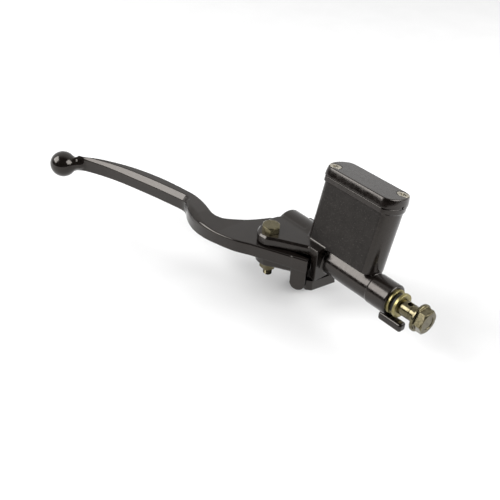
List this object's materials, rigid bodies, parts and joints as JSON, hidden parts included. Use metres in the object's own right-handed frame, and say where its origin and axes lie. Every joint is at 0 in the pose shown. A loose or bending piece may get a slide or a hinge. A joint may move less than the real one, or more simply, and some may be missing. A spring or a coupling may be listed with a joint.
{
  "type": "brake master cylinder",
  "caption": "Handlebar-mounted front brake master cylinder with a rectangular fluid reservoir, a swan-neck ball-end hand lever and a banjo bolt at its outlet.",
  "frame": {"origin": "centre of the handlebar bore, midway along the clamp", "axes": "+X along the handlebar towards the fluid outlet, -Y forward on the machine, +Z along the lever pivot bolt towards its head; the reservoir leans 12.7 degrees towards +Y"},
  "size_m": [0.2938, 0.1186, 0.1009],
  "materials": {
    "casting_black": "semi-gloss black coat over die-cast aluminium",
    "lever_black": "semi-gloss black powder coat over cast aluminium",
    "zinc_yellow": "yellow-passivated zinc plate, satin",
    "zinc_clear": "clear zinc plate, satin",
    "washer_brass": "dull yellow sealing washer",
    "rubber_black": "matte moulded rubber",
    "nylon_white": "natural nylon",
    "spring_steel": "bright spring steel",
    "piston_alloy": "hard-anodised turned aluminium",
    "bush_bronze": "sintered bronze"
  },
  "bodies": {
    "cylinder_body": {"master_cylinder_body": "casting_black", "reservoir_cover": "casting_black", "clamp_cap": "casting_black", "cover_screws": "zinc_clear", "diaphragm": "rubber_black", "diaphragm_plate": "nylon_white", "port_baffle": "spring_steel", "clamp_bolts": "zinc_yellow", "clamp_washers": "zinc_yellow", "pivot_bolt": "zinc_yellow", "pivot_nut": "zinc_yellow", "return_spring": "spring_steel", "stop_washer": "spring_steel", "circlip": "spring_steel", "dust_boot": "rubber_black", "banjo_bolt": "zinc_yellow", "sealing_washer_inner": "washer_brass", "washer_retainer": "rubber_black", "sealing_washer_outer": "washer_brass"},
    "lever": {"brake_lever": "lever_black", "lever_bush": "bush_bronze"},
    "piston_group": {"piston": "piston_alloy", "primary_cup": "rubber_black", "secondary_cup": "rubber_black"}
  },
  "joints": [
    {"name": "lever_pivot", "type": "hinge", "parent": "cylinder_body", "child": "lever", "pos_m": [-0.0078, -0.0387, 0.017], "axis": [0, 0, -1], "range_deg": [0, 18], "stiffness_Nm_per_rad": 0.5, "springref_deg": -34.38},
    {"name": "piston_slide", "type": "slide", "parent": "cylinder_body", "child": "piston_group", "axis": [1, 0, 0], "range_m": [0, 0.0066], "deforming": ["return_spring", "dust_boot"]}
  ],
  "couplings": [
    {"joint": "piston_slide", "follows": "lever_pivot", "m_per_rad": 0.0207}
  ]
}
